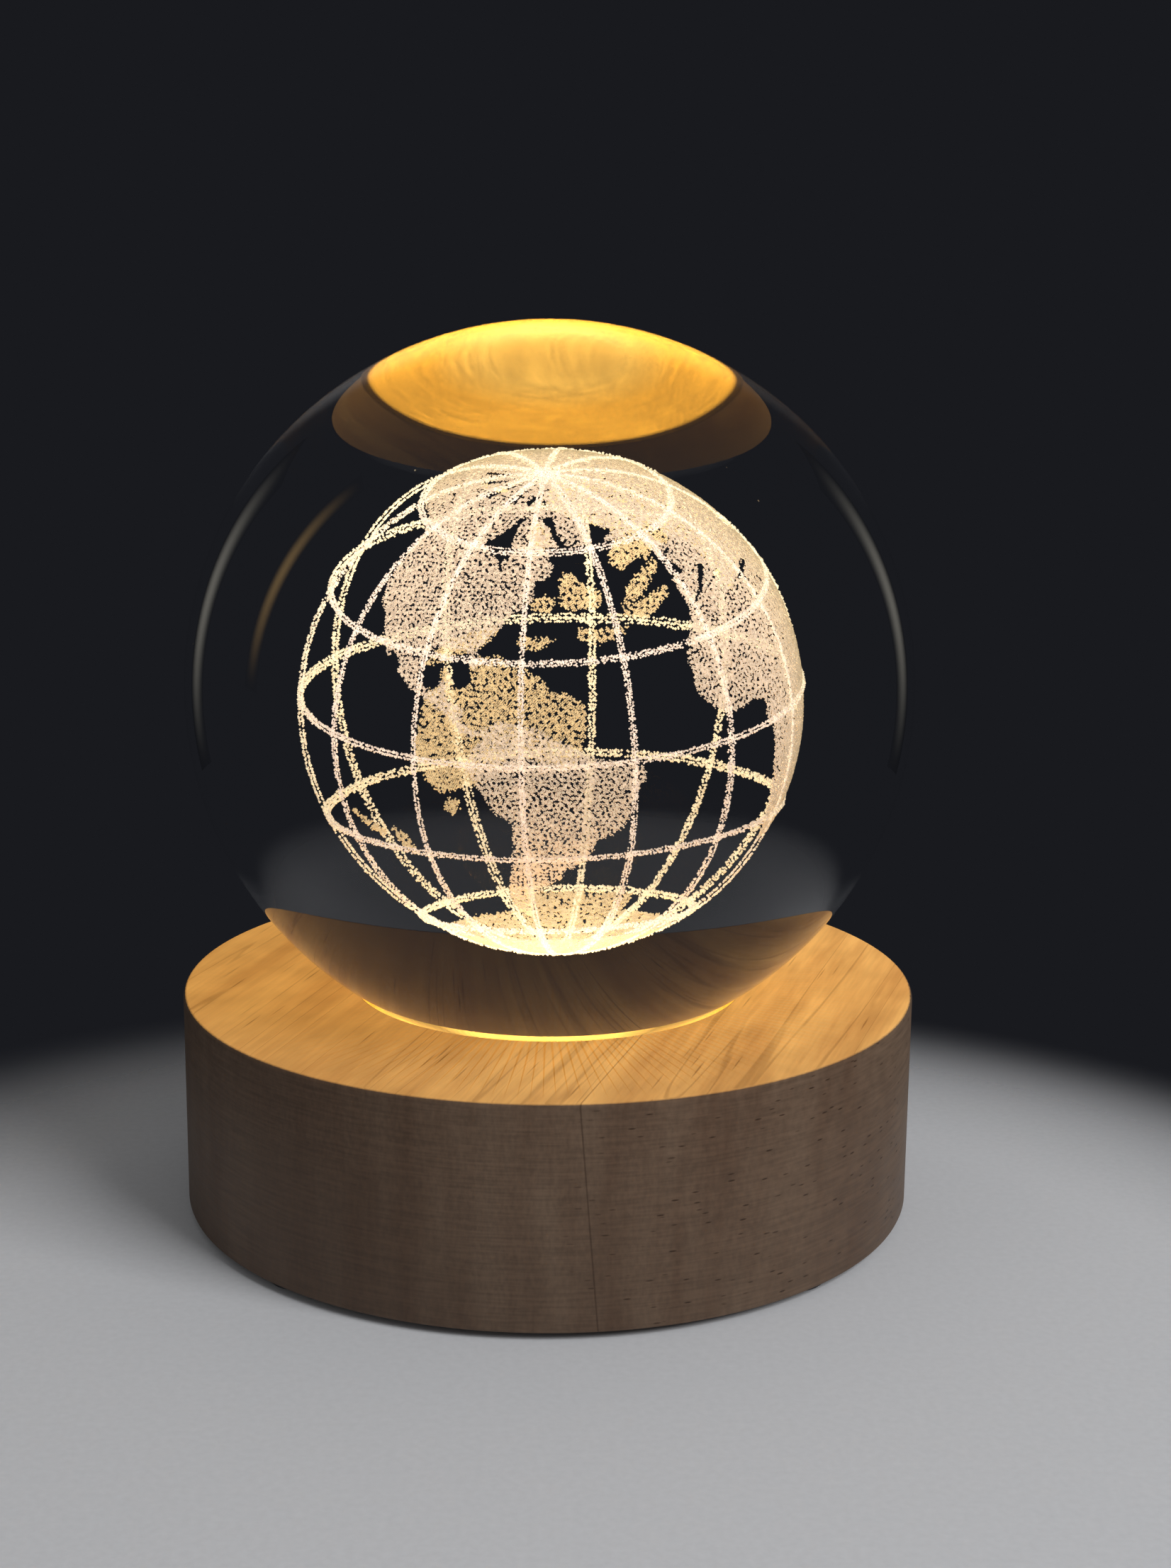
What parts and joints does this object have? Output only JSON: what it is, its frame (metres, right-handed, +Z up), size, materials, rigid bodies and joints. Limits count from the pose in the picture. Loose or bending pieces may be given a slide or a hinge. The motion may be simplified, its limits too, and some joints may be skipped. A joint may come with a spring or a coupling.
{
  "type": "crystal ball lamp",
  "caption": "Laser-engraved glass ball with a globe inside, resting on a round wooden base that lights it from below through a recess, with a power inlet and button at the rear.",
  "frame": {"origin": "on the table, under the middle of the base", "axes": "+Z up through the base and the ball, -Y to the front, where the engraved globe shows the Americas and Africa, +Y to the power inlet and button, +X to the right as seen from the front"},
  "size_m": [0.082, 0.082, 0.0987],
  "materials": {
    "optical_glass": "polished clear optical glass",
    "oiled_wood": "sanded and lightly oiled beech",
    "frosted_acrylic": "frosted translucent acrylic",
    "white_laminate": "white solder mask on glass-fibre laminate",
    "green_laminate": "green solder mask on glass-fibre laminate",
    "led_phosphor": "yellow phosphor in a white package",
    "black_ceramic": "black glazed ceramic",
    "zinc_steel": "zinc-plated steel",
    "black_plastic": "fine moulded texture",
    "red_insulation": "extruded wire insulation",
    "black_insulation": "extruded wire insulation",
    "grey_rubber": "matt moulded rubber"
  },
  "bodies": {
    "base": {"wooden_base": "oiled_wood", "light_window": "frosted_acrylic", "led_board": "white_laminate", "led_1": "led_phosphor", "led_2": "led_phosphor", "led_3": "led_phosphor", "led_4": "led_phosphor", "led_5": "led_phosphor", "led_6": "led_phosphor", "led_resistor_1": "black_ceramic", "led_resistor_2": "black_ceramic", "led_resistor_3": "black_ceramic", "led_board_screw_1": "zinc_steel", "led_board_screw_2": "zinc_steel", "inlet_board": "green_laminate", "inlet_board_screw_1": "zinc_steel", "inlet_board_screw_2": "zinc_steel", "inlet_resistor_1": "black_ceramic", "inlet_resistor_2": "black_ceramic", "inlet_socket_shell": "zinc_steel", "inlet_socket_tongue": "black_plastic", "power_switch": "black_plastic", "rear_panel": "black_plastic", "red_lead": "red_insulation", "black_lead": "black_insulation", "bottom_cover": "black_plastic", "cover_screw_1": "zinc_steel", "cover_screw_2": "zinc_steel", "cover_screw_3": "zinc_steel", "foot_1": "grey_rubber", "foot_2": "grey_rubber", "foot_3": "grey_rubber", "foot_4": "grey_rubber"},
    "ball": {"crystal_ball": "optical_glass"},
    "button": {"power_button": "black_plastic"}
  },
  "joints": [
    {"name": "ball_lift", "type": "slide", "parent": "base", "child": "ball", "axis": [0, 0, 1], "range_m": [0, 0.1]},
    {"name": "power_press", "type": "slide", "parent": "base", "child": "button", "axis": [0, -1, 0], "range_m": [0, 0.0012], "stiffness_N_per_m": 600}
  ]
}
